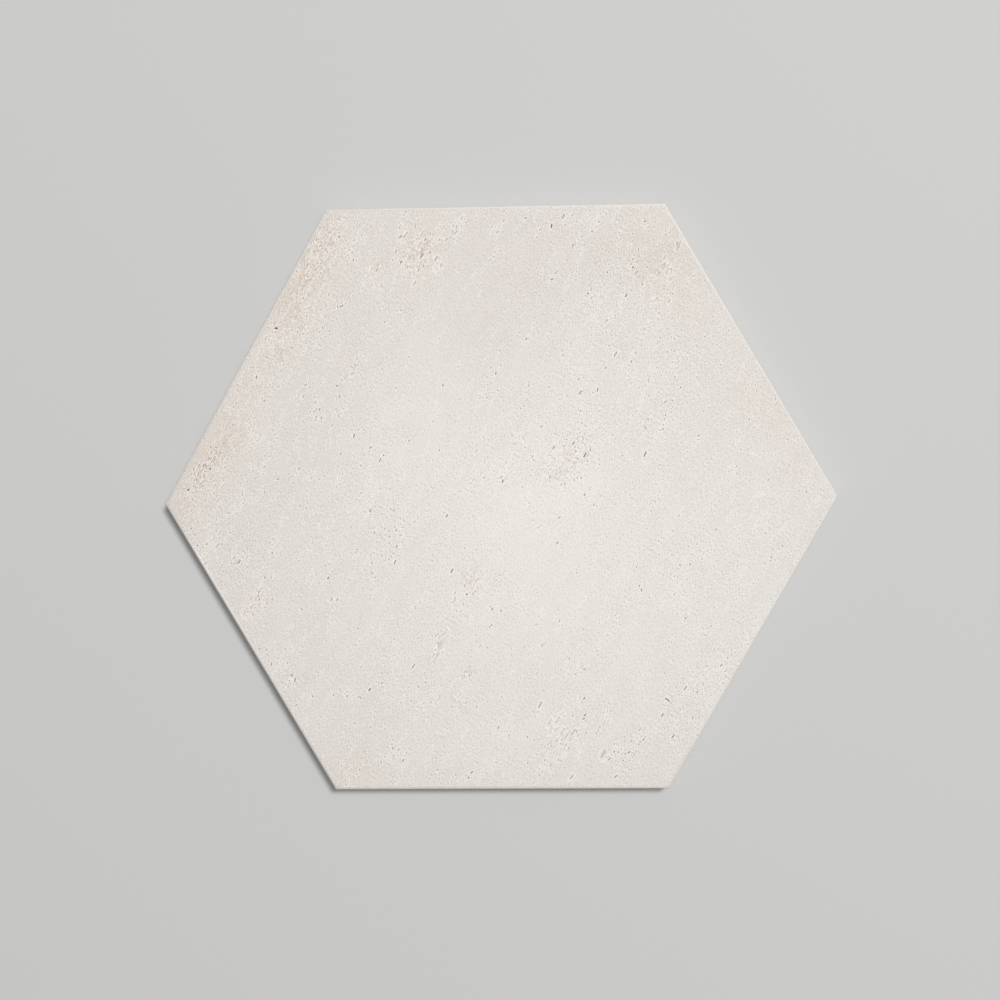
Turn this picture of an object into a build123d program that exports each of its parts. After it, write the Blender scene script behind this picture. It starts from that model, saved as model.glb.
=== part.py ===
from build123d import *
import math
import os

# Hexagon floor and wall tile, pressed and fired in one piece, in millimetres.
# It lies face up: the middle of its back is at the origin and two of its corners are on the X axis.

# Outline and edges
ACROSS_FLATS = 200.0        # distance between opposite sides, the size that it is sold by
THICKNESS = 9.0             # from the ribs of the back to the face
CORNER_RADIUS = 0.5         # each upright corner is eased by the grinding of the sides
FACE_BEVEL = 0.5            # the narrow 45 degree bevel round the face
BACK_BEVEL_IN = 0.8         # the back's edge is pressed in by this much
BACK_BEVEL_UP = 1.2         # and the side is upright from this height

# Keying relief of the back: shallow six-sided cells with ribs between them, which hold the adhesive
CELL_PITCH = 16.0           # from the middle of one cell to the next
RIB_WIDTH = 2.4             # at the top of a rib, where the tile rests
CELL_DEPTH = 0.7
CELL_DRAFT = 25.0           # degrees, so that the press lets go of the cell
CELL_CORNER_CUT = 1.1       # along each wall, so that the cell has no sharp corner to crack from
LEAST_BORDER = 8.0          # plain margin between the cells and the sides

# Worked out from the sizes above
APOTHEM = ACROSS_FLATS / 2
CELL_APOTHEM = (CELL_PITCH - RIB_WIDTH) / 2
CELL_REACH = CELL_APOTHEM / math.cos(math.radians(30))
ROW_SPACING = CELL_PITCH * math.sin(math.radians(60))
CELL_RINGS = math.floor((APOTHEM - LEAST_BORDER - CELL_REACH) / ROW_SPACING)


def blank():
    """The tile with a flat back: a hexagon plate, bevelled all round, with its upright corners eased."""
    with BuildPart() as plate:
        with BuildSketch():
            RegularPolygon(APOTHEM, 6, major_radius=False)
        extrude(amount=THICKNESS)
        face = plate.faces().sort_by(Axis.Z)[-1]
        chamfer(face.edges(), FACE_BEVEL)
        back = plate.faces().sort_by(Axis.Z)[0]
        chamfer(back.edges(), BACK_BEVEL_IN, BACK_BEVEL_UP, reference=back)
        with BuildSketch():
            RegularPolygon(APOTHEM, 6, major_radius=False)
            fillet(vertices(), CORNER_RADIUS)
        extrude(amount=THICKNESS, mode=Mode.INTERSECT)
    return plate.part


def keying_cell():
    """The space of one cell: widest at the back, with its corners cut and its walls drafted.

    Its flats face its neighbours, so that the ribs between the cells have one width all along.
    """
    with BuildPart() as cell:
        with BuildSketch():
            RegularPolygon(CELL_APOTHEM, 6, major_radius=False, rotation=30)
            chamfer(vertices(), CELL_CORNER_CUT)
        extrude(amount=CELL_DEPTH, taper=CELL_DRAFT)
    return cell.part


def cell_centres():
    """The middles of the cells, in rings about the middle of the back, in the outline's own shape."""
    centres = []
    for row in range(-CELL_RINGS, CELL_RINGS + 1):
        cells_in_row = 2 * CELL_RINGS + 1 - abs(row)
        first_x = -CELL_PITCH * (cells_in_row - 1) / 2
        for place in range(cells_in_row):
            centres.append((first_x + place * CELL_PITCH, row * ROW_SPACING))
    return centres


def hexagon_tile():
    """The whole tile: the blank with the honeycomb of cells pressed into its back."""
    cell = keying_cell()
    with BuildPart() as tile:
        add(blank())
        with Locations(*cell_centres()):
            add(cell, mode=Mode.SUBTRACT)
    tile.part.label = "hexagon_tile"
    return tile.part


os.makedirs("parts", exist_ok=True)
export_step(hexagon_tile(), "parts/hexagon_tile.step")
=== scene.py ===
import math
import random
from collections import namedtuple

import bmesh
import bpy
from mathutils import Matrix, Vector, noise
from mathutils.geometry import delaunay_2d_cdt


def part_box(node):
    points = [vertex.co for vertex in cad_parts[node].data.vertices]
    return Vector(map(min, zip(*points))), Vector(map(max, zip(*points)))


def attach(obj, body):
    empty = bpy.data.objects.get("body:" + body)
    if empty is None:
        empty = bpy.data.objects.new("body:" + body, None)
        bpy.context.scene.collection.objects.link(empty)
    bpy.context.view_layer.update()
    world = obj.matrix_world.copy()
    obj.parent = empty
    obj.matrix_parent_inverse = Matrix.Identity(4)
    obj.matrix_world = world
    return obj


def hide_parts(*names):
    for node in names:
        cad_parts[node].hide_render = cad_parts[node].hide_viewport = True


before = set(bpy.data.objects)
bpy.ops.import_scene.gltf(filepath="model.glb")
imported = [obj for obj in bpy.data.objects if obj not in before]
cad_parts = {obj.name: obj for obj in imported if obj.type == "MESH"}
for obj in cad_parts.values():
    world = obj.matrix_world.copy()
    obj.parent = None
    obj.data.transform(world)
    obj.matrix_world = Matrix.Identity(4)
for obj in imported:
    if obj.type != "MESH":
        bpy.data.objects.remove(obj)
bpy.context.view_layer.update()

# A hexagonal porcelain tile with a limestone look, lying face up on a pale floor.
# Lengths on the tile are in millimetres until a mesh is made, and metres after that.
MM = 0.001
LOW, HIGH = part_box("hexagon_tile")
TOP = HIGH.z / MM                       # height of the face
APOTHEM = HIGH.y / MM                   # from the middle to a side
SEED = 20

# Stone grain: pits, streaks and stains all lie this way, counted from +X towards +Y
GRAIN = math.radians(60)

# Stained and clouded areas, clusters of pits and single pits, as places on the tile. half_length runs
# along angle, in degrees, and half_width across it. Those of a patch or cluster reach to where it has
# mostly faded, and those of a pit to its rim. dark is how dark the colour in a pit's hollow is: above
# 1.4 it turns black. brown is 0 for a grey colour and 1 for brown.
Patch = namedtuple("Patch", "x y half_length half_width angle amount")
Cluster = namedtuple("Cluster", "x y half_length half_width angle count kind")
Pit = namedtuple("Pit", "x y half_length half_width angle depth dark brown")

# Kinds of pit: size as a share of the usual, length as a multiple of width, degrees that they stray
# from the grain, how dark the colour in their hollows is, and the share of them coloured brown
Kind = namedtuple("Kind", "size stretch spread dark brown")
STRAY = Kind(0.98, 1.5, 14, 1.0, 0.25)
DOTS = Kind(1.02, 1.5, 14, 1.0, 0.2)
SPECKS = Kind(0.85, 1.5, 14, 0.85, 0.8)
RUST = Kind(1.12, 1.9, 12, 1.05, 0.95)
STROKES = Kind(0.98, 2.9, 9, 1.0, 1.0)
VEINS = Kind(1.3, 6.0, 7, 0.6, 1.0)

# Broad thin tan tints
WASHES = [
    Patch(-79, 56, 62, 8, 60, 0.7),
    Patch(-70, 76, 20, 12, 60, 1.2),
    Patch(-100, 17, 22, 10, 60, 1.0),
    Patch(-111, -2, 8, 6, 60, 0.5),
    Patch(-25, 85, 11, 6, 70, 0.7),
    Patch(-41, 79, 5, 4, 60, 0.5),
    Patch(60, 78, 20, 11, 120, 0.6),
    Patch(94, 28, 20, 8, 120, 0.3),
    Patch(-56, -94, 16, 6, 0, 0.4),
    Patch(40, -90, 16, 6, 0, 0.2),
    Patch(-9, -27, 6, 4, 60, 0.3),
    Patch(22, 13, 14, 7, 48, 0.3),
]

# Short tan strokes in the hollows of the grain
STAINS = [
    # along the upper left side
    Patch(-62, 81, 24, 7, 62, 1.2),
    Patch(-74, 52, 7, 4, 55, 0.8),
    Patch(-92, 24, 12, 5, 60, 0.5),
    Patch(-102, 11, 12, 3.2, 52, 1.3),
    Patch(-85, 21, 7, 2.5, 60, 0.4),
    Patch(-108, -2, 8, 5, 60, 0.4),
    # upper part
    Patch(-27, 85, 10, 5, 72, 1.0),
    Patch(-41, 79, 3.5, 2.5, 60, 0.8),
    Patch(-18, 82, 6, 2, 65, 0.5),
    Patch(-50, 45, 7, 2.5, 50, 0.7),
    Patch(20, 95, 5, 2.5, 55, 0.5),
    Patch(53, 94, 5, 3, 50, 0.5),
    Patch(58, 79, 5.5, 2.4, 60, 1.1),
    Patch(60, 68, 5, 2, 75, 0.7),
    Patch(40, 49, 6, 2, 60, 0.5),
    Patch(28, 36, 4, 1.5, 50, 0.5),
    # middle
    Patch(24, 12, 11, 5, 48, 0.9),
    Patch(7, 22, 4, 2, 60, 0.5),
    Patch(50, 25, 5, 2, 50, 0.5),
    Patch(-9, -28, 5.5, 4, 60, 0.75),
    Patch(-16, -24, 3, 1.5, 60, 0.6),
    Patch(-20, -49, 7, 2.2, 66, 1.4),
    Patch(-11, -61, 4.5, 1.6, 62, 1.2),
    Patch(-14, -70, 4.5, 1.8, 110, 0.9),
    # lower part
    Patch(21, -82, 10, 4, 60, 0.7),
    Patch(35, -88, 3.4, 1.7, 65, 1.0),
    Patch(57, -69, 4, 1.5, -45, 0.6),
    Patch(28, -58, 3, 1.8, 45, 1.2),
    Patch(-84, -36, 8, 3.5, 42, 0.9),
    Patch(-63.5, -13, 3.5, 1.3, 60, 0.8),
    Patch(-97, -27, 4, 2, 60, 0.8),
    Patch(-91, -19, 5, 1.5, 60, 0.7),
    Patch(-78, -55, 5, 1.5, 65, 0.5),
    Patch(-53, -93, 8, 6, 60, 0.4),
    # right corner
    Patch(89, 31, 13, 7, 60, 0.4),
    Patch(102, 9, 6, 7, 90, 0.3),
    Patch(101, -18, 4, 2, 60, 0.4),
]

# Paler (above zero) and darker (below zero) stone, from one broad pale middle down to single clouds.
# The broad pale middle is painted light, a pool brighter in the middle that falls off towards the sides,
# laid over the stone's own paler tone; the rest are the stone's own clouds.
CLOUDS_AND_LIGHT_POOL = [
    # A painted pool of light in the middle, laid over the stone's own paler middle
    Patch(8, -10, 112, 88, 60, 0.50),
    Patch(60, -48, 60, 46, 60, 0.15),
    Patch(10, -4, 40, 26, 60, 0.12),
    Patch(-30, 26, 40, 20, 75, 0.13),
    Patch(0, 64, 36, 18, 80, -0.15),
    Patch(-66, -14, 36, 22, 60, 0.05),
    Patch(92, -6, 40, 26, 60, 0.12),
    Patch(92, -50, 26, 16, 60, 0.10),
    Patch(-84, 42, 60, 12, 60, 0.10),
    Patch(-108, 0, 24, 14, 60, -0.05),
    Patch(-58, 84, 26, 12, 60, 0.02),
    Patch(-52, -90, 26, 12, 0, -0.08),
    Patch(26, 13, 14, 8, 48, 0.12),
    Patch(17, 1, 18, 6, 15, 0.14),
    Patch(0, -84, 40, 12, 0, 0.12),
    Patch(50, -80, 24, 14, 0, 0.05),
    Patch(44, 82, 34, 14, 0, -0.2),
]

# Rougher (above zero) and smoother (below zero) areas
ROUGHNESS = [
    # rough
    Patch(-67, 68, 46, 10, 60, 1.0),
    Patch(-98, 5, 18, 11, 60, 0.7),
    Patch(-91, -20, 14, 9, 60, 0.6),
    Patch(-75, -62, 10, 7, 60, 0.6),
    Patch(-39, -6, 13, 9, 60, 0.7),
    Patch(25, 15, 16, 9, 48, 0.9),
    Patch(42, 79, 22, 14, 60, 0.5),
    Patch(62, 44, 20, 12, 60, 0.5),
    Patch(58, -78, 13, 8, 60, 1.0),
    Patch(24, -80, 13, 8, 60, 0.5),
    Patch(-8, -27, 6, 5, 60, 0.7),
    Patch(65, -21, 16, 10, 60, 0.4),
    Patch(-24, 86, 12, 7, 70, 0.6),
    Patch(-37, -69, 16, 9, 40, 0.3),
    # smooth
    Patch(-17, 52, 42, 13, 78, -0.9),
    Patch(6, 46, 12, 9, 70, -0.6),
    Patch(7, -16, 11, 8, 60, -0.5),
    Patch(17, 2, 15, 4, 12, -0.8),
    Patch(19, -36, 25, 13, 60, -0.9),
    Patch(-7, -45, 9, 7, 60, -0.5),
    Patch(45, -55, 15, 9, 60, -0.5),
    Patch(-55, -44, 18, 9, 60, -0.5),
    Patch(93, 13, 16, 10, 60, -0.2),
    Patch(-8, -94, 18, 6, 0, 0.4),
]

CLUSTERS = [
    # along the upper left side
    Cluster(-101, 11.5, 10, 2.8, 52, 90, DOTS),
    Cluster(-102, 10, 9, 2.4, 52, 45, RUST),
    Cluster(-64, 79, 26, 6, 60, 200, SPECKS),
    Cluster(-76, 56, 8, 4, 55, 60, SPECKS),
    Cluster(-84, 22, 5, 4, 60, 30, SPECKS),
    Cluster(-102, -12, 12, 6, 60, 68, DOTS),
    Cluster(-69, 20, 5, 1.2, 52, 12, DOTS),
    Cluster(-61, 29, 3, 2, 40, 10, RUST),
    Cluster(-82, 35, 2.5, 1, 45, 6, RUST),
    # upper part
    Cluster(-26, 86, 11, 5, 68, 86, STROKES),
    Cluster(-19, 81, 5, 1.6, 60, 12, STROKES),
    Cluster(-14, 93, 5, 1.5, 52, 10, STROKES),
    Cluster(-33, 93, 2, 1, 60, 3, STROKES),
    Cluster(-41, 78, 4, 2.6, 60, 22, STROKES),
    Cluster(-51, 86, 5, 2, 60, 8, STROKES),
    Cluster(-53, 67, 2.5, 1.5, 20, 5, STROKES),
    Cluster(1, 94, 4, 1.5, 60, 6, STROKES),
    Cluster(-50, 45, 8, 2.5, 50, 24, RUST),
    Cluster(25, 95, 3.5, 2.5, 60, 12, RUST),
    Cluster(51, 94, 3, 2.2, 60, 9, RUST),
    Cluster(42, 88, 3.5, 1.5, 60, 9, RUST),
    Cluster(51, 85, 2.5, 2, 60, 5, RUST),
    Cluster(58, 79, 6, 2, 62, 9, VEINS),
    Cluster(60, 71.5, 3, 1.6, 70, 8, RUST),
    Cluster(60, 66.5, 3, 1.5, 70, 9, RUST),
    Cluster(54.5, 68, 2.5, 1.5, 60, 7, RUST),
    Cluster(33.5, 69, 3, 1, 65, 6, STROKES),
    Cluster(46, 80, 5, 2, 60, 14, DOTS),
    Cluster(35, 67, 5, 3, 62, 22, DOTS),
    Cluster(51, 59, 3.5, 1.2, 55, 7, STROKES),
    Cluster(38, 62, 20, 10, 60, 70, DOTS),
    Cluster(60, 75, 10, 6, 60, 20, DOTS),
    # middle
    Cluster(7, 22, 3.6, 2.2, 65, 15, STROKES),
    Cluster(13, 14, 3, 2.2, 60, 12, RUST),
    Cluster(4, 11, 2.5, 2, 60, 9, RUST),
    Cluster(1, 7, 3, 1.8, 50, 9, RUST),
    Cluster(20, 11, 2.6, 1.6, 50, 10, RUST),
    Cluster(23, 5, 3.4, 2, 50, 15, RUST),
    Cluster(30, 15, 2.6, 1.6, 55, 8, RUST),
    Cluster(31, 9, 2.4, 1.1, 50, 6, RUST),
    Cluster(27, 6, 2.6, 1.3, 50, 7, RUST),
    Cluster(19, 19, 3, 2, 60, 9, RUST),
    Cluster(26, 17, 3, 1.8, 55, 10, RUST),
    Cluster(32, 23, 4, 1.4, 50, 7, RUST),
    Cluster(50, 25, 3.6, 2.2, 50, 16, RUST),
    Cluster(50, 14, 2, 2, 60, 5, RUST),
    Cluster(52, -3, 6, 2, 50, 9, STROKES),
    Cluster(22, 14, 13, 5, 50, 90, SPECKS),
    Cluster(3, 11, 6, 2.5, 55, 22, SPECKS),
    Cluster(-9, -29, 4.2, 3.6, 60, 34, RUST),
    Cluster(-15, -34, 3, 1.4, 70, 7, RUST),
    Cluster(8, -40, 3, 1, 50, 4, RUST),
    Cluster(12, -44, 2.5, 1, 50, 4, RUST),
    Cluster(25, -24, 2, 2, 60, 6, DOTS),
    Cluster(-20, -48, 5, 1.6, 70, 9, VEINS),
    Cluster(-21, -46, 3, 1.4, 100, 7, RUST),
    Cluster(-11.5, -61, 4.5, 1.2, 65, 12, STROKES),
    Cluster(-14, -70, 4, 1.4, 110, 10, RUST),
    Cluster(-23, -69, 3, 1.2, 60, 6, RUST),
    Cluster(-30.5, -74, 1.5, 0.8, 40, 3, RUST),
    Cluster(-7, -52, 6, 1.2, 10, 6, STROKES),
    Cluster(14, -51, 2.5, 1, 60, 3, STROKES),
    Cluster(-43, 0, 14, 8, 70, 46, DOTS),
    Cluster(-36, -13, 11, 6, 65, 26, RUST),
    # lower part
    Cluster(18, -77, 4, 2.4, 62, 7, VEINS),
    Cluster(23, -82, 4, 2, 62, 7, VEINS),
    Cluster(22, -86, 3, 2.4, 60, 9, RUST),
    Cluster(20, -90, 3, 2, 40, 9, RUST),
    Cluster(15, -93, 4, 2, 20, 9, SPECKS),
    Cluster(36, -75, 3.5, 1.2, 60, 3, VEINS),
    Cluster(28, -58, 2, 1.2, 50, 4, STROKES),
    Cluster(57, -69, 3, 0.8, -40, 4, RUST),
    Cluster(62, -76, 3, 1, 60, 4, STROKES),
    Cluster(64, -65, 2.5, 1, 80, 4, STROKES),
    Cluster(44, -86, 10, 5, 50, 62, DOTS),
    Cluster(72, -62, 14, 7, 60, 80, DOTS),
    Cluster(-84, -36, 8, 3.2, 42, 40, RUST),
    Cluster(-96, -13, 3, 1, 50, 6, STROKES),
    Cluster(-91, -19, 5, 1.2, 60, 11, STROKES),
    Cluster(-63.5, -13, 3.5, 1.1, 60, 10, RUST),
    Cluster(-58.5, -33.5, 1.5, 1.2, 60, 4, STROKES),
    Cluster(-50.5, -25.5, 2, 1.2, 60, 6, RUST),
    Cluster(-43.5, -25, 2, 1.4, 60, 7, DOTS),
    Cluster(-79, -25, 3, 1, -35, 5, RUST),
    Cluster(-78, -54, 3.5, 1, 70, 5, RUST),
    Cluster(-71, -62, 3, 1, 110, 4, RUST),
    Cluster(-52, -66, 6, 1.5, -15, 14, RUST),
    Cluster(-44, -64, 5, 1.2, 45, 8, DOTS),
    Cluster(-36, -53, 3, 2.2, 60, 14, DOTS),
    Cluster(-25, -69, 6, 3, 60, 14, DOTS),
    Cluster(-37, -89, 10, 3, 0, 27, RUST),
]

# The few pits that stand out singly
SINGLE_PITS = [
    Pit(-75.6, 59.9, 0.62, 0.38, -10, 0.45, 3.0, 0.0),
    Pit(-54.9, 39.8, 0.36, 0.30, 0, 0.40, 3.0, 0.0),
    Pit(13.5, -70.8, 1.7, 0.26, 64, 0.25, 1.2, 0.3),
    Pit(29.8, 15.1, 1.2, 0.36, 58, 0.30, 1.4, 0.7),
    Pit(28.4, 36.4, 1.1, 0.30, 50, 0.28, 1.3, 0.6),
    Pit(-16.3, -24.2, 1.1, 0.40, 55, 0.30, 1.2, 0.9),
    Pit(57.2, -69.3, 1.2, 0.45, -35, 0.30, 1.2, 0.9),
    Pit(55.4, -74.6, 0.9, 0.40, 65, 0.28, 1.2, 0.9),
    Pit(28.9, -74.4, 0.8, 0.34, 40, 0.28, 1.3, 0.5),
    Pit(-71.3, -61.6, 1.0, 0.35, 80, 0.28, 1.3, 0.9),
    Pit(-17.8, -5.3, 0.9, 0.30, 60, 0.28, 1.2, 0.2),
    Pit(-35.9, -21.1, 1.1, 0.30, 68, 0.28, 1.2, 0.1),
    Pit(-40.5, 14.2, 1.1, 0.32, 65, 0.28, 1.1, 0.9),
    Pit(-2.6, -37.6, 0.7, 0.34, 60, 0.28, 1.2, 0.8),
    Pit(0.4, -38.2, 0.6, 0.34, 45, 0.28, 1.2, 0.8),
    Pit(40.5, 49.2, 1.3, 0.36, 62, 0.28, 1.1, 0.9),
    Pit(35.0, -88.0, 2.3, 1.10, 65, 0.12, 0.5, 1.0),
    Pit(9.0, -82.0, 0.4, 0.28, 60, 0.28, 1.3, 0.1),
    Pit(9.0, -91.0, 0.4, 0.28, 60, 0.28, 1.3, 0.1),
    Pit(24.0, -96.0, 1.2, 0.30, 55, 0.28, 1.1, 0.9),
    Pit(59.0, -82.0, 1.1, 0.32, 50, 0.28, 1.4, 0.4),
    Pit(-76.0, 8.0, 0.5, 0.34, 30, 0.28, 1.1, 1.0),
    Pit(-53.0, 67.0, 0.9, 0.30, 30, 0.28, 1.2, 0.6),
    Pit(-30.0, -57.0, 1.1, 0.28, 60, 0.28, 1.2, 0.3),
    Pit(38.0, 77.0, 0.5, 0.32, 60, 0.28, 1.2, 0.9),
    Pit(33.0, 91.0, 0.4, 0.28, 60, 0.28, 1.3, 0.3),
    Pit(51.0, 94.0, 0.4, 0.30, 0, 0.28, 1.5, 0.2),
    Pit(20.0, -15.0, 0.8, 0.28, 45, 0.28, 1.4, 0.5),
]

# Waves of noise: strength, wavelength, layer, and how far it is drawn out along the grain.
# Each has a layer of its own, so that no two are alike.
WANDER_X = ((3.5, 9, 1, 1), (1.2, 2.5, 2, 1))          # how the outlines of patches wander
WANDER_Y = ((3.5, 9, 3, 1), (1.2, 2.5, 4, 1))
STRAY_BANDS = ((0.8, 9, 5, 3), (1.0, 3, 6, 2))         # where stray pits are thicker and thinner
SWELLS = ((0.6, 11, 7, 1.6), (0.4, 4.5, 8, 1.8))       # the slight hollows of the face
LAYER_GAP = 17.3

PATCH_FADE = 1.4             # how fast a patch fades outwards
PATCH_END = 6                # the square of the distance at which it is gone, counted in its half sizes
SWELL_DEPTH = 0.035          # of the slight hollows
SWELL_FADE = 6.0             # over what width they deepen from the sides inwards

# Sizes of pits, and how much they vary
USUAL_HALF_WIDTH = 0.2
WIDEST, LONGEST = 0.32, 2.2  # the widest half width of a usual kind, and the longest half length
WIDTH_SPREAD, STRETCH_SPREAD, DARK_SPREAD = 0.24, 0.32, 0.35
DEPTH_BY_HALF_WIDTH = (0.8, 1.4)
MOSTLY_BROWN, HARDLY_BROWN = (0.6, 1.0), (0.0, 0.3)
BROWN_IS_PALER = 0.3         # how much paler a brown colour in a pit is than a grey one
PIT_GAP = 0.05               # left between pits
FACE_BORDER = 1.3            # pits keep this far from the sides
CLUSTER_SPREAD = 0.5         # of the pits in a cluster, as a share of its half sizes

# Rows in which pits follow one another
ROW_COUNTS = (1, 1, 2, 2, 3, 3, 4, 5, 6)
LONGEST_ROW = max(ROW_COUNTS)
ROW_STEP = (0.8, 1.5)
STRAY_ALONG, STRAY_ACROSS = 0.15, 0.2
TRIES_FOR_EACH = 3           # rows tried for each pit that a cluster wants

# Pits scattered over the whole face, outside the clusters, and the chance that a row starts at a place:
# its usual value, its least one, and how much rough areas add
STRAY_PITS = 2900
USUAL_CHANCE, LEAST_CHANCE = 0.45, 0.1
ROUGH_AREAS = 0.4

# Points of a pit: the step between those on its rim and on its floor, with the fewest and the most of
# them, how far the floor reaches towards the ends and strays to the sides, and how uneven both are
RIM_STEP, RIM_COUNTS = 0.2, (7, 28)
FLOOR_STEP, FLOOR_COUNTS = 0.22, (1, 9)
FLOOR_SHARE, FLOOR_STRAY = 0.65, 0.15
UNEVEN_RIM, UNEVEN_FLOOR = (0.85, 1.12), (0.75, 1.0)
TURN_JITTER = 0.2            # as a share of the step between points round a pit

# Plain points close round a pit, which keep the painted highlight round its rim narrow, and the loose grid
# over the rest of the face. A clearance is how far they keep from pits, and a border how far from the
# sides.
SKIRT_COUNT, SKIRT_GAP = 6, 0.36
SKIRT_CLEARANCE, SKIRT_BORDER = 0.12, 0.8
GRID_STEP, GRID_JITTER = 1.6, 0.3
GRID_CLEARANCE, GRID_BORDER = 0.42, 1.0
ROW_HEIGHT = 0.866           # of a row of even triangles, as a share of their side
BESIDE, PLAIN = -2.0, -3.0   # what a point's pit value is just outside a pit, and on the plain face

# Mesh of the tile
CELL_RIM_ROUND = 0.18        # how far the rounded rims of the cells in the back reach
RIM_TURN = math.radians(30)  # edges of the back that turn by more than this are rims
BACK_BORDER = 3              # edges nearer to the sides than this are no rims of cells
SIDE_FOOT = 1.25             # the sides begin above the edge of the back
PAINTED_DEPTH = 0.5          # values for the finish are stored down to this depth below the face
SMOOTH_UP_TO = math.radians(32)
CLOSE = 1e-6                 # in metres: points nearer than this count as one, and levels as equal
FACE, SIDE, BACK = 0, 1, 2   # places of the materials on the tile

# Floor, light and camera, in metres
FLOOR_SIDE = 6.0
LAMP_TOWARDS = (0.277, 0.297, 0.914)
LAMP_DISTANCE, LAMP_SIZE, LAMP_WATTS = 3.0, 0.7, 64.0
EVEN_LIGHT = 0.34
CAMERA_TURN = (0.0397, 0.0408, -0.0119)  # from straight down: the axis, as long as the angle in radians
CAMERA_OFFSET = (-0.0051, 0.0, 4.454)    # how far right, down and ahead it sees the tile, in tile radii
SENSOR_WIDTH, FOCAL_LENGTH = 36, 54      # these two in millimetres
NEAREST, FARTHEST = 0.01, 20


def along_grain(x, y, angle=GRAIN):
    """A place or offset as (along the given direction, across it)."""
    return x * math.cos(angle) + y * math.sin(angle), y * math.cos(angle) - x * math.sin(angle)


def from_grain(u, v, angle=GRAIN):
    """The opposite of along_grain."""
    return u * math.cos(angle) - v * math.sin(angle), u * math.sin(angle) + v * math.cos(angle)


def edge_distance(x, y):
    """How far inside the nearest side of the tile a place is."""
    facings = (math.radians(degrees) for degrees in range(30, 390, 60))
    return APOTHEM - max(x * math.cos(facing) + y * math.sin(facing) for facing in facings)


def with_waves(start, x, y, waves):
    """The start value with the waves of noise at a place added."""
    u, v = along_grain(x, y)
    for strength, wavelength, layer, stretch in waves:
        place = Vector((u / wavelength / stretch, v / wavelength, LAYER_GAP * layer))
        start += strength * noise.noise(place)
    return start


def patch_sum(patches, x, y):
    """How strongly the patches act at a place, with outlines that wander like those of real stains."""
    wander_x, wander_y = with_waves(x, x, y, WANDER_X), with_waves(y, x, y, WANDER_Y)
    total = 0.0
    for p in patches:
        u, v = along_grain(wander_x - p.x, wander_y - p.y, math.radians(p.angle))
        reach = (u / p.half_length) ** 2 + (v / p.half_width) ** 2
        if reach < PATCH_END:
            total += p.amount * math.exp(-PATCH_FADE * reach)
    return total


# Pits of the face

class PitField:
    """The pits placed so far, kept in squares so that near ones are found fast."""

    SQUARE = 3.5            # side of a square; pits in the squares round a place count as near

    def __init__(self):
        self.pits = []
        self.squares = {}

    def square(self, x, y):
        return math.floor(x / self.SQUARE), math.floor(y / self.SQUARE)

    def near(self, x, y):
        column, row = self.square(x, y)
        for dc in (-1, 0, 1):
            for dr in (-1, 0, 1):
                yield from self.squares.get((column + dc, row + dr), ())

    def is_clear(self, x, y, length, width):
        """Whether a pit of these half sizes would touch none of those placed."""
        for other in self.near(x, y):
            u, v = along_grain(x - other.x, y - other.y, math.radians(other.angle))
            reach_u = other.half_length + length
            reach_v = other.half_width + width
            if (u / reach_u) ** 2 + (v / reach_v) ** 2 < 1:
                return False
        return True

    def add(self, pit):
        self.pits.append(pit)
        self.squares.setdefault(self.square(pit.x, pit.y), []).append(pit)


def random_pit(rng, x, y, kind):
    """A small pit: its long way follows the grain, more or less."""
    drawn_width = rng.lognormvariate(math.log(USUAL_HALF_WIDTH), WIDTH_SPREAD)
    half_width = kind.size * min(WIDEST, drawn_width)
    half_length = min(LONGEST, half_width * rng.lognormvariate(math.log(kind.stretch), STRETCH_SPREAD))
    angle = math.degrees(GRAIN) + rng.gauss(0, kind.spread)
    depth = half_width * rng.uniform(*DEPTH_BY_HALF_WIDTH)
    brown = rng.uniform(*(MOSTLY_BROWN if rng.random() < kind.brown else HARDLY_BROWN))
    dark = kind.dark * (1 - BROWN_IS_PALER * brown) * rng.lognormvariate(0.0, DARK_SPREAD)
    return Pit(x, y, half_length, half_width, angle, depth, dark, brown)


def try_to_add(field, pit):
    """Adds the pit if it fits on the face and touches no other. Says whether it did."""
    if edge_distance(pit.x, pit.y) < FACE_BORDER:
        return False
    if not field.is_clear(pit.x, pit.y, pit.half_length + PIT_GAP, pit.half_width + PIT_GAP):
        return False
    field.add(pit)
    return True


def row_of_places(rng, x, y, longest=LONGEST_ROW):
    """Places in a loose row along the grain, where pits follow one another as in real limestone."""
    count = min(longest, rng.choice(ROW_COUNTS))
    step = rng.uniform(*ROW_STEP)
    for k in range(count):
        along = (k - (count - 1) / 2) * step + rng.gauss(0, STRAY_ALONG)
        dx, dy = from_grain(along, rng.gauss(0, STRAY_ACROSS))
        yield x + dx, y + dy


def scatter_clusters(field, rng):
    """Pits in the clusters, in rows no longer than suits a cluster's size."""
    for c in CLUSTERS:
        placed = 0
        longest = max(1, min(LONGEST_ROW, round(c.half_length / 2)))
        for _ in range(c.count * TRIES_FOR_EACH):
            if placed >= c.count:
                break
            u = rng.gauss(0, CLUSTER_SPREAD) * c.half_length
            v = rng.gauss(0, CLUSTER_SPREAD) * c.half_width
            dx, dy = from_grain(u, v, math.radians(c.angle))
            for x, y in row_of_places(rng, c.x + dx, c.y + dy, longest):
                placed += try_to_add(field, random_pit(rng, x, y, c.kind))


def scatter_strays(field, rng):
    """Pits over the whole face, thicker in rough areas and in wandering bands along the grain."""
    reach = HIGH.x / MM
    placed = 0
    while placed < STRAY_PITS:
        start_x, start_y = rng.uniform(-reach, reach), rng.uniform(-APOTHEM, APOTHEM)
        if edge_distance(start_x, start_y) < FACE_BORDER:
            continue
        chance = with_waves(USUAL_CHANCE, start_x, start_y, STRAY_BANDS)
        chance += ROUGH_AREAS * patch_sum(ROUGHNESS, start_x, start_y)
        if rng.random() > max(LEAST_CHANCE, chance):
            continue
        for x, y in row_of_places(rng, start_x, start_y):
            placed += try_to_add(field, random_pit(rng, x, y, STRAY))


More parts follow.
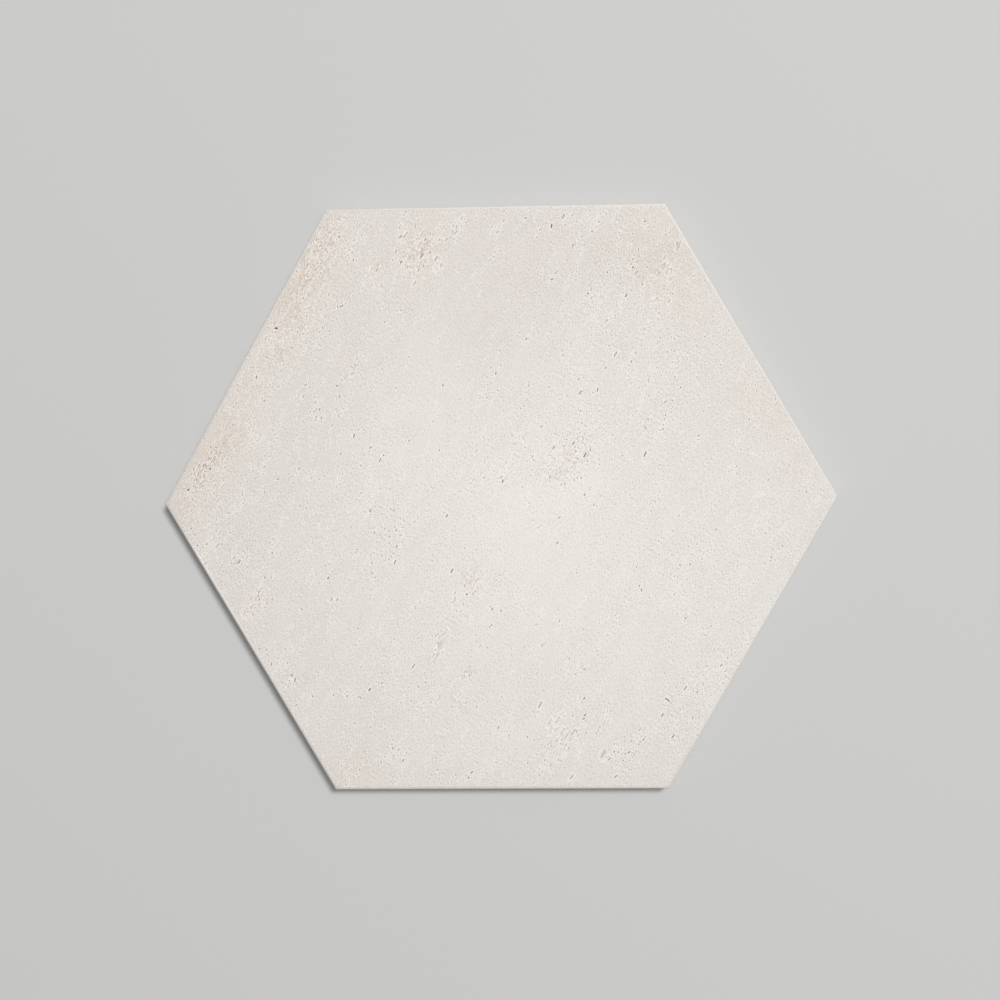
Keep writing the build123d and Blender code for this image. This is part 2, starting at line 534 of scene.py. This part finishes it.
def make_pits():
    """All pits of the face: single ones first, then clusters, then strays between them."""
    rng = random.Random(SEED)
    field = PitField()
    for pit in SINGLE_PITS:
        field.add(pit)
    scatter_clusters(field, rng)
    scatter_strays(field, rng)
    return field


# Points of the face: each is a place, a depth below the face, and what the finish needs to know there
Point = namedtuple("Point", "x y drop pit brown")


def held(value, limits):
    """The value, or the limit that it lies beyond."""
    return max(limits[0], min(limits[1], value))


def round_turn(k, count, rng):
    """Where point k of count points round a pit lies, slightly uneven."""
    return 2 * math.pi * (k + rng.uniform(-TURN_JITTER, TURN_JITTER)) / count


def pit_points(pit, rng):
    """An uneven rim at the face and a few points on the floor, joined later by the triangles between."""
    angle = math.radians(pit.angle)
    long, wide = pit.half_length, pit.half_width
    around = math.pi * (3 * (long + wide) / 2 - math.sqrt(long * wide))
    rim_count = held(round(around / RIM_STEP), RIM_COUNTS)
    points = []
    for k in range(rim_count):
        turn = round_turn(k, rim_count, rng)
        swell = rng.uniform(*UNEVEN_RIM)
        x, y = from_grain(long * swell * math.cos(turn), wide * swell * math.sin(turn), angle)
        points.append(Point(pit.x + x, pit.y + y, 0.0, 0.0, pit.brown))
    floor_count = held(round(long / FLOOR_STEP), FLOOR_COUNTS)
    for k in range(floor_count):
        share = 0.0 if floor_count == 1 else 2 * FLOOR_SHARE * k / (floor_count - 1) - FLOOR_SHARE
        x, y = from_grain(share * long, rng.uniform(-FLOOR_STRAY, FLOOR_STRAY) * wide, angle)
        depth = pit.depth * rng.uniform(*UNEVEN_FLOOR)
        points.append(Point(pit.x + x, pit.y + y, depth, pit.dark, pit.brown))
    return points


def skirt_points(field, pit, rng):
    """Plain points close round a pit, where no other pit is in their way."""
    points = []
    for k in range(SKIRT_COUNT):
        turn = round_turn(k, SKIRT_COUNT, rng)
        dx, dy = from_grain(
            (pit.half_length + SKIRT_GAP) * math.cos(turn),
            (pit.half_width + SKIRT_GAP) * math.sin(turn),
            math.radians(pit.angle),
        )
        x, y = pit.x + dx, pit.y + dy
        if field.is_clear(x, y, SKIRT_CLEARANCE, SKIRT_CLEARANCE) and edge_distance(x, y) > SKIRT_BORDER:
            points.append(Point(x, y, 0.0, BESIDE, 0.0))
    return points


def plain_points(field, rng):
    """A loose grid over the rest of the face."""
    points = []
    rows = math.ceil(APOTHEM / (GRID_STEP * ROW_HEIGHT))
    columns = math.ceil(HIGH.x / MM / GRID_STEP)
    for row in range(-rows, rows + 1):
        for column in range(-columns, columns + 1):
            x = (column + 0.5 * (row % 2)) * GRID_STEP + rng.uniform(-GRID_JITTER, GRID_JITTER) * GRID_STEP
            y = row * GRID_STEP * ROW_HEIGHT + rng.uniform(-GRID_JITTER, GRID_JITTER) * GRID_STEP
            if edge_distance(x, y) > GRID_BORDER and field.is_clear(x, y, GRID_CLEARANCE, GRID_CLEARANCE):
                points.append(Point(x, y, 0.0, PLAIN, 0.0))
    return points


def swell_drop(x, y):
    """The slight hollows of the face between its pits, which fade out towards the sides."""
    fade = held((edge_distance(x, y) - GRID_BORDER) / SWELL_FADE, (0.0, 1.0))
    return SWELL_DEPTH * fade * (0.5 + 0.5 * with_waves(0.0, x, y, SWELLS))


# Tile mesh

def cad_shell():
    """The CAD tile as a welded mesh with its face taken off, with room for what the finish needs."""
    shell = bmesh.new()
    for name in ("pit", "brown"):
        shell.verts.layers.float.new(name)
    shell.from_mesh(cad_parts["hexagon_tile"].data)
    bmesh.ops.remove_doubles(shell, verts=shell.verts, dist=CLOSE)
    face = [f for f in shell.faces if all(v.co.z > HIGH.z - CLOSE for v in f.verts)]
    bmesh.ops.delete(shell, geom=face, context="FACES_ONLY")
    return shell


def round_cell_rims(shell):
    """Rounds the rim of every cell in the back, as pressing and firing leave it."""
    def is_cell_rim(edge):
        low = all(v.co.z < LOW.z + CLOSE for v in edge.verts)
        middle = (edge.verts[0].co + edge.verts[1].co) / (2 * MM)
        turned = len(edge.link_faces) == 2 and edge.calc_face_angle() > RIM_TURN
        return low and turned and edge_distance(middle.x, middle.y) > BACK_BORDER

    bmesh.ops.bevel(
        shell, geom=[e for e in shell.edges if is_cell_rim(e)], affect="EDGES",
        offset=CELL_RIM_ROUND * MM, offset_type="OFFSET", segments=2, profile=0.5,
    )


def face_outline(shell):
    """The open edge left by the face, as vertices in order round it."""
    edges = [e for e in shell.edges if e.is_boundary]
    start = edges[0].verts[0]
    outline, here, used = [start], start, set()
    while True:
        step = next((e for e in here.link_edges if e.is_boundary and e not in used), None)
        used.add(step)
        here = step.other_vert(here)
        if here == start:
            return outline
        outline.append(here)


def fill_face(shell, outline, points):
    """Closes the shell with triangles through the outline and the points."""
    flat = [Vector((v.co.x / MM, v.co.y / MM)) for v in outline]
    flat += [Vector((p.x, p.y)) for p in points]
    ring = list(range(len(outline)))
    inside_the_ring, tolerance = 1, 1e-5
    coords, _, triangles, came_from, _, _ = delaunay_2d_cdt(flat, [], [ring], inside_the_ring, tolerance)
    pit, brown = (shell.verts.layers.float[name] for name in ("pit", "brown"))
    for vert in outline:
        vert[pit] = PLAIN
    made = []
    for place, sources in zip(coords, came_from):
        if sources[0] < len(outline):
            made.append(outline[sources[0]])
            continue
        point = points[sources[0] - len(outline)]
        height = TOP - swell_drop(place.x, place.y) - point.drop
        vert = shell.verts.new((place.x * MM, place.y * MM, height * MM))
        vert[pit], vert[brown] = point.pit, point.brown
        made.append(vert)
    for corners in triangles:
        shell.faces.new([made[k] for k in corners]).material_index = FACE


PAINTED = (("wash", WASHES), ("stain", STAINS), ("cloud", CLOUDS_AND_LIGHT_POOL), ("rough", ROUGHNESS))


def paint(mesh):
    """Stores how strongly each kind of patch acts on the vertices, for the finish of the face."""
    for name, patches in PAINTED:
        values = mesh.attributes.new(name, "FLOAT", "POINT").data
        for k, vertex in enumerate(mesh.vertices):
            if vertex.co.z > HIGH.z - PAINTED_DEPTH * MM:
                values[k].value = patch_sum(patches, vertex.co.x / MM, vertex.co.y / MM)


def make_tile():
    """The CAD tile with a pitted face and rounded rims on the cells of its back."""
    rng = random.Random(SEED + 1)
    field = make_pits()
    points = [point for pit in field.pits for point in pit_points(pit, rng)]
    points += [point for pit in field.pits for point in skirt_points(field, pit, rng)]
    points += plain_points(field, rng)
    shell = cad_shell()
    round_cell_rims(shell)
    for face in shell.faces:
        height = face.calc_center_median().z / MM
        face.material_index = SIDE if height > SIDE_FOOT else BACK
    fill_face(shell, face_outline(shell), points)
    bmesh.ops.recalc_face_normals(shell, faces=shell.faces)
    mesh = bpy.data.meshes.new("stone_look_tile")
    shell.to_mesh(mesh)
    shell.free()
    mesh.shade_smooth()
    mesh.set_sharp_from_angle(angle=SMOOTH_UP_TO)
    paint(mesh)
    tile = bpy.data.objects.new("stone_look_tile", mesh)
    bpy.context.scene.collection.objects.link(tile)
    return tile


# Materials

class Shader:
    """A material's nodes, made and joined in few words."""

    def __init__(self, name):
        self.material = bpy.data.materials.new(name)
        self.material.use_nodes = True
        self.tree = self.material.node_tree
        self.surface = self.tree.nodes["Principled BSDF"]

    def node(self, kind, **values):
        made = self.tree.nodes.new(kind)
        for name, value in values.items():
            setattr(made, name, value)
        return made

    def put(self, socket, value):
        """Links an output to the socket, or sets a plain value on it."""
        if isinstance(value, bpy.types.NodeSocket):
            self.tree.links.new(value, socket)
        else:
            socket.default_value = value

    def attribute(self, name):
        return self.node("ShaderNodeAttribute", attribute_name=name).outputs["Fac"]

    def math(self, operation, a, b, clamp=False):
        made = self.node("ShaderNodeMath", operation=operation, use_clamp=clamp)
        self.put(made.inputs[0], a)
        self.put(made.inputs[1], b)
        return made.outputs[0]

    def mix(self, share, a, b):
        """Colour a with a share of colour b. The sockets for colours have the numbers 6, 7 and 2."""
        made = self.node("ShaderNodeMix", data_type="RGBA")
        self.put(made.inputs["Factor"], share)
        self.put(made.inputs[6], a)
        self.put(made.inputs[7], b)
        return made.outputs[2]

    def between(self, value, low, high, to_low=0.0, to_high=1.0):
        """The value carried from the range low to high to the range to_low to to_high, and held there."""
        made = self.node("ShaderNodeMapRange", clamp=True)
        for socket, number in zip(made.inputs, (value, low, high, to_low, to_high)):
            self.put(socket, number)
        return made.outputs[0]

    def places(self, turn=0.0, stretch=(1, 1, 1)):
        """Places on the tile in millimetres, turned so that X runs along turn, then stretched."""
        where = self.node("ShaderNodeTexCoord").outputs["Object"]
        turned = self.node("ShaderNodeMapping")
        self.put(turned.inputs["Vector"], where)
        turned.inputs["Rotation"].default_value = (0, 0, -turn)
        turned.inputs["Scale"].default_value = (1 / MM, 1 / MM, 1 / MM)
        squeezed = self.node("ShaderNodeMapping")
        self.put(squeezed.inputs["Vector"], turned.outputs[0])
        squeezed.inputs["Scale"].default_value = [1 / s for s in stretch]
        return squeezed.outputs[0]

    def noise(self, vector, wavelength, detail, roughness=0.5):
        made = self.node("ShaderNodeTexNoise")
        self.put(made.inputs["Vector"], vector)
        made.inputs["Scale"].default_value = 1 / wavelength
        made.inputs["Detail"].default_value = detail
        made.inputs["Roughness"].default_value = roughness
        return made.outputs["Fac"]

    def specks(self, vector, spacing, radius, share):
        """Small spots in a share of the cells, strongest in their middles, and the rings round them."""
        made = self.node("ShaderNodeTexVoronoi", voronoi_dimensions="2D")
        self.put(made.inputs["Vector"], vector)
        made.inputs["Scale"].default_value = 1 / spacing
        distance, reach = made.outputs["Distance"], radius / spacing
        cell = self.node("ShaderNodeSeparateColor")
        self.put(cell.inputs[0], made.outputs["Color"])
        strength = self.between(cell.outputs[0], 1 - share, 1.0)
        spot = self.math("MULTIPLY", self.between(distance, 0.0, reach, 1.0, 0.0), strength)
        ring = self.math("MULTIPLY", self.between(distance, reach, 1.5 * reach), strength)
        return spot, self.math("MULTIPLY", ring, self.between(distance, 2 * reach, 2.7 * reach, 1.0, 0.0))

    def bump(self, height, distance):
        made = self.node("ShaderNodeBump")
        made.inputs["Distance"].default_value = distance
        self.put(made.inputs["Height"], height)
        self.put(self.surface.inputs["Normal"], made.outputs[0])


def linear(red, green, blue):
    """A colour as a screen shows it, 0 to 255, as the renderer counts it."""
    def one(value):
        value /= 255
        return value / 12.92 if value <= 0.04045 else ((value + 0.055) / 1.055) ** 2.4
    return one(red), one(green), one(blue), 1.0


def face_material():
    """Matt cream limestone look: clouds with a painted pool of light in the middle, tan streaks, dark or
    brown pits and a fine grain, with painted highlights and painted shade in the grain, beside the streaks
    and round the pits.
    """
    s = Shader("stone_look_face")
    bedding = s.places(GRAIN, (2.5, 1, 1))
    drift = s.noise(bedding, 5, 4, 0.65)
    # The cloud values hold the painted pool of light in the middle as well as the stone's own clouds
    tone_and_light_pool = s.math("ADD", s.attribute("cloud"), s.between(drift, 0.3, 0.7, 0.21, 0.42), clamp=True)
    colour = s.mix(tone_and_light_pool, linear(214, 207, 199), linear(236, 232, 227))

    # How rough the stone is
    smoothest, roughest = 0.35, 1.2
    bands = s.between(s.noise(bedding, 4, 3, 0.6), 0.36, 0.64, 0.4, 0.8)
    rough = s.math("ADD", bands, s.math("MULTIPLY", s.attribute("rough"), 0.5))
    rough = s.between(rough, smoothest, roughest, smoothest, roughest)

    # Grain: a faint even relief along the bedding. Its hollows are coloured darker as painted shade, and
    # its crests paler as painted highlights.
    relief = s.noise(s.places(GRAIN, (2.6, 1, 1)), 0.32, 0)
    grain = s.between(rough, smoothest, roughest, 0.3, 0.68)
    hollows = s.math("MULTIPLY", grain, s.between(relief, 0.25, 0.47, 1.0, 0.0))
    ridge_highlights = s.math("MULTIPLY", grain, s.between(relief, 0.53, 0.75, 0.0, 0.85))
    colour = s.mix(hollows, colour, linear(192, 183, 173))
    colour = s.mix(ridge_highlights, colour, linear(251, 249, 246))

    # Tan stains: thin washes, and strokes where dirt has stayed in the hollows, beside paler strokes that
    # are painted highlights (the glints)
    colour = s.mix(s.math("MULTIPLY", s.attribute("wash"), 0.2, clamp=True), colour, linear(210, 188, 167))
    strokes = s.noise(s.places(GRAIN, (3.1, 1, 1)), 0.34, 0)
    marks = s.math("MULTIPLY", s.attribute("stain"), s.between(strokes, 0.52, 0.68), clamp=True)
    glints = s.math("MULTIPLY", s.attribute("stain"), s.between(strokes, 0.32, 0.48, 1.0, 0.0), clamp=True)
    colour = s.mix(s.math("MULTIPLY", marks, 0.45), colour, linear(194, 164, 136))
    # Painted highlights beside the tan strokes
    colour = s.mix(s.math("MULTIPLY", glints, 0.4), colour, linear(249, 246, 241))

    # Pinholes too small for the mesh, with pale rims that are painted highlights, stronger where the face
    # is rough
    painted_highlight = linear(251, 249, 245)
    pinholes, pinhole_highlights = s.specks(s.places(GRAIN, (1.6, 1, 1)), spacing=1.15, radius=0.24, share=0.55)
    pinholes = s.math("MULTIPLY", pinholes, rough)
    pinhole_highlights = s.math("MULTIPLY", pinhole_highlights, rough)
    colour = s.mix(s.math("MULTIPLY", pinhole_highlights, 0.4, clamp=True), colour, painted_highlight)
    colour = s.mix(s.math("MULTIPLY", pinholes, 0.8, clamp=True), colour, linear(140, 122, 105))

    # Pits: a pale band round the rim that is a painted highlight, a darker grey to brown colour in the
    # hollow, and black where the pit is deepest
    pit = s.attribute("pit")
    # A pale band just outside the rim of each pit, a painted highlight
    rim = s.math("MULTIPLY", s.between(pit, -0.5, 0.0, 1.0, 0.0), s.between(pit, BESIDE, -1.2))
    colour = s.mix(s.math("MULTIPLY", rim, 0.5), colour, painted_highlight)
    pit_colour = s.mix(s.attribute("brown"), linear(88, 80, 71), linear(148, 106, 70))
    colour = s.mix(s.between(pit, 0.2, 1.0, 0.0, 0.85), colour, pit_colour)
    colour = s.mix(s.between(pit, 1.4, 2.2), colour, linear(22, 20, 18))
    s.put(s.surface.inputs["Base Color"], colour)

    s.put(s.surface.inputs["Roughness"], s.between(rough, 0.2, 1.2, 0.7, 0.88))
    s.surface.inputs["Specular IOR Level"].default_value = 0.35
    height = s.math("SUBTRACT", s.math("MULTIPLY", s.math("MULTIPLY", relief, 0.6), rough), pinholes)
    s.bump(s.math("SUBTRACT", height, s.math("MULTIPLY", marks, 0.4)), 0.16 * MM)
    return s.material


def side_material():
    """Ground porcelain: the plain body colour, slightly paler, with fine lines along the sides. The
    paleness is partly the ground body and partly painted light that keeps the bevels in shade from looking
    dark.
    """
    s = Shader("ground_side")
    lines = s.noise(s.places(0, (6, 6, 0.25)), 1.0, 3, 0.6)
    cloud = s.noise(s.places(), 6, 3, 0.6)
    # Paler than the face, partly as painted light for the bevels in shade
    colour = s.mix(s.between(cloud, 0.35, 0.65), linear(228, 223, 216), linear(236, 232, 226))
    colour = s.mix(s.between(lines, 0.55, 0.75, 0.0, 0.35), colour, linear(196, 187, 174))
    s.put(s.surface.inputs["Base Color"], colour)
    s.put(s.surface.inputs["Roughness"], s.between(lines, 0.3, 0.7, 0.62, 0.8))
    s.bump(lines, 0.03 * MM)
    return s.material


def back_material():
    """The unfinished pressed body, with pale kiln powder on the ribs that it was fired on."""
    s = Shader("pressed_back")
    where = s.places()
    mottle = s.noise(where, 5, 4, 0.6)
    grit = s.noise(where, 0.5, 3, 0.7)
    colour = s.mix(s.between(mottle, 0.3, 0.7), linear(186, 174, 158), linear(203, 193, 178))
    colour = s.mix(s.between(grit, 0.6, 0.75, 0.0, 0.6), colour, linear(150, 136, 118))
    height = s.node("ShaderNodeSeparateXYZ")
    s.put(height.inputs[0], where)
    on_rib = s.between(height.outputs["Z"], 0.05, 0.2, 1.0, 0.0)
    powder = s.math("MULTIPLY", on_rib, s.between(s.noise(where, 1.6, 4, 0.7), 0.42, 0.62))
    colour = s.mix(s.math("MULTIPLY", powder, 0.7), colour, linear(236, 233, 227))
    s.put(s.surface.inputs["Base Color"], colour)
    s.put(s.surface.inputs["Roughness"], s.between(grit, 0.3, 0.7, 0.9, 0.8))
    s.bump(grit, 0.08 * MM)
    return s.material


def floor_material():
    """Pale, plain and matt."""
    s = Shader("pale_floor")
    s.surface.inputs["Base Color"].default_value = linear(204, 204, 203)
    s.surface.inputs["Roughness"].default_value = 0.9
    s.surface.inputs["Specular IOR Level"].default_value = 0.2
    return s.material


# Stage, light and camera

def make_floor():
    floor = bpy.data.objects.new("floor", bpy.data.meshes.new("floor"))
    reach = FLOOR_SIDE / 2
    corners = ((-reach, -reach), (reach, -reach), (reach, reach), (-reach, reach))
    floor.data.from_pydata([(x, y, LOW.z) for x, y in corners], [], [(0, 1, 2, 3)])
    floor.data.materials.append(floor_material())
    bpy.context.scene.collection.objects.link(floor)


def make_light():
    """A soft lamp to the upper right, and even light from all round."""
    towards = Vector(LAMP_TOWARDS).normalized()
    lamp = bpy.data.lights.new("key", "AREA")
    lamp.shape = "DISK"
    lamp.size = LAMP_SIZE
    lamp.energy = LAMP_WATTS
    key = bpy.data.objects.new("key", lamp)
    key.location = towards * LAMP_DISTANCE
    key.rotation_mode = "QUATERNION"
    key.rotation_quaternion = towards.to_track_quat("Z", "Y")
    bpy.context.scene.collection.objects.link(key)
    world = bpy.data.worlds.new("even_light")
    world.use_nodes = True
    background = world.node_tree.nodes["Background"]
    background.inputs["Color"].default_value = (1.0, 1.0, 1.0, 1.0)
    background.inputs["Strength"].default_value = EVEN_LIGHT
    bpy.context.scene.world = world


def make_camera():
    """Almost straight above the tile, as the photograph has it."""
    radius = HIGH.y / math.cos(math.radians(30))        # from the middle to a corner before it is eased
    turn = Matrix.Rotation(math.hypot(*CAMERA_TURN), 3, Vector(CAMERA_TURN))
    to_view = turn @ Matrix(((1, 0, 0), (0, -1, 0), (0, 0, -1)))
    offset = Vector(CAMERA_OFFSET) * radius
    place = -(to_view.transposed() @ offset) + Vector((0, 0, HIGH.z))
    right, down, ahead = to_view
    axes = Matrix((right, -down, -ahead)).transposed()
    camera = bpy.data.objects.new("camera", bpy.data.cameras.new("camera"))
    camera.data.sensor_width = SENSOR_WIDTH
    camera.data.lens = FOCAL_LENGTH
    camera.data.clip_start, camera.data.clip_end = NEAREST, FARTHEST
    camera.matrix_world = Matrix.Translation(place) @ axes.to_4x4()
    bpy.context.scene.collection.objects.link(camera)
    bpy.context.scene.camera = camera


make_camera()
make_light()
make_floor()
tile = make_tile()
for material in (face_material(), side_material(), back_material()):        # as FACE, SIDE, BACK
    tile.data.materials.append(material)
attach(tile, "root")
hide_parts("hexagon_tile")
bpy.context.scene.view_settings.view_transform = "Standard"
